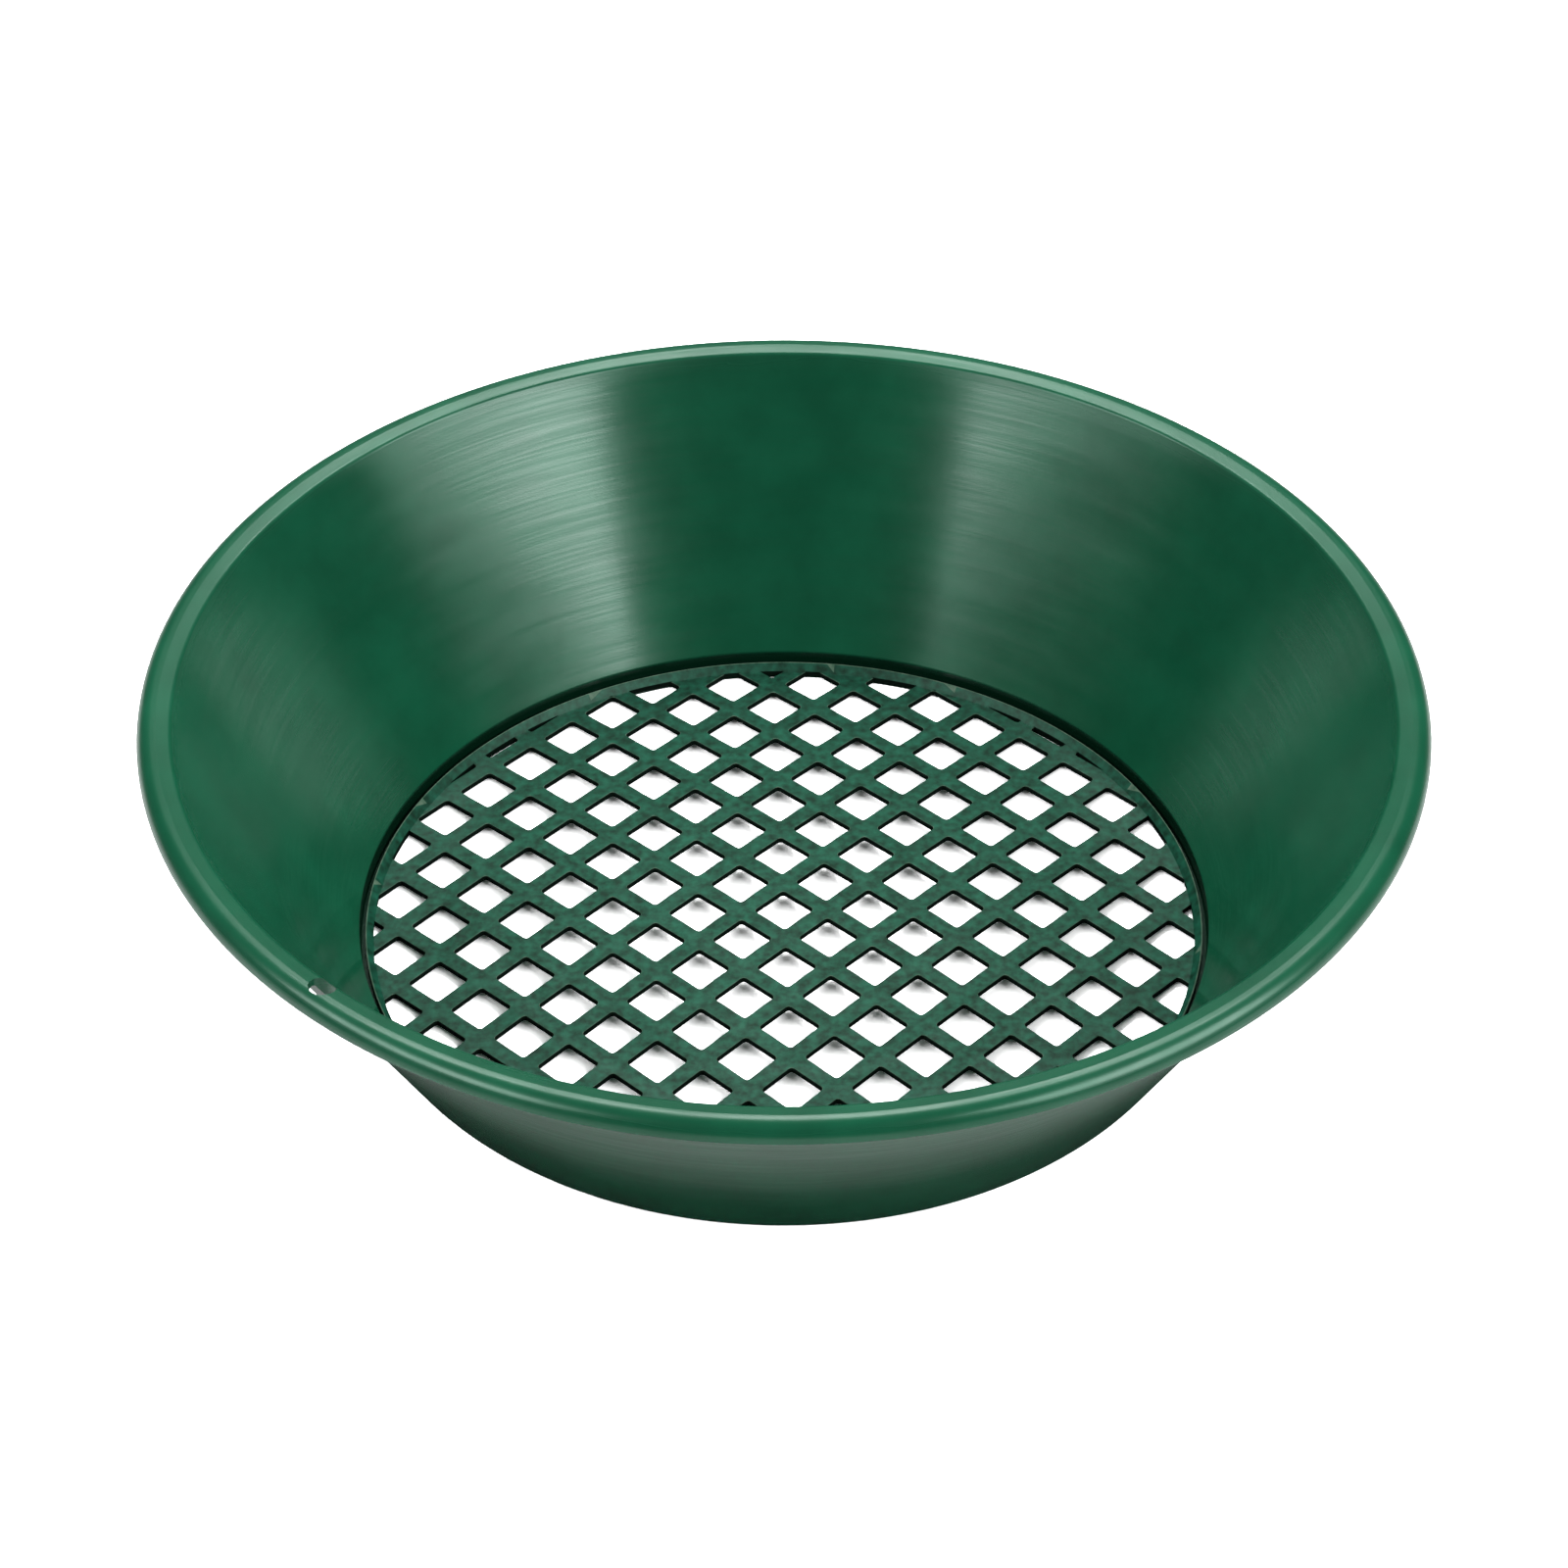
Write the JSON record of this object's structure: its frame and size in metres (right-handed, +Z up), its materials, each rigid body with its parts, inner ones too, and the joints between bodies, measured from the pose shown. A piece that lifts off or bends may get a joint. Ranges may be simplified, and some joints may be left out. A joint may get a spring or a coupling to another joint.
{
  "type": "sifting gold pan",
  "caption": "Round dished plastic pan with a turned-down rim, a hang hole and a domed grid floor, for sifting gravel ahead of gold panning.",
  "frame": {"origin": "centre of the foot ring's underside, on the surface that the pan stands on", "axes": "+Z up along the pan's axis, out of its mouth; -Y is the front, and the hang hole lies front left"},
  "size_m": [0.356, 0.356, 0.0873],
  "materials": {
    "pan_plastic": "glossy moulded green plastic with fine turning marks",
    "plate_plastic": "satin moulded green plastic"
  },
  "bodies": {
    "root": {"pan_body": "pan_plastic", "sieve_plate": "plate_plastic"}
  },
  "joints": []
}
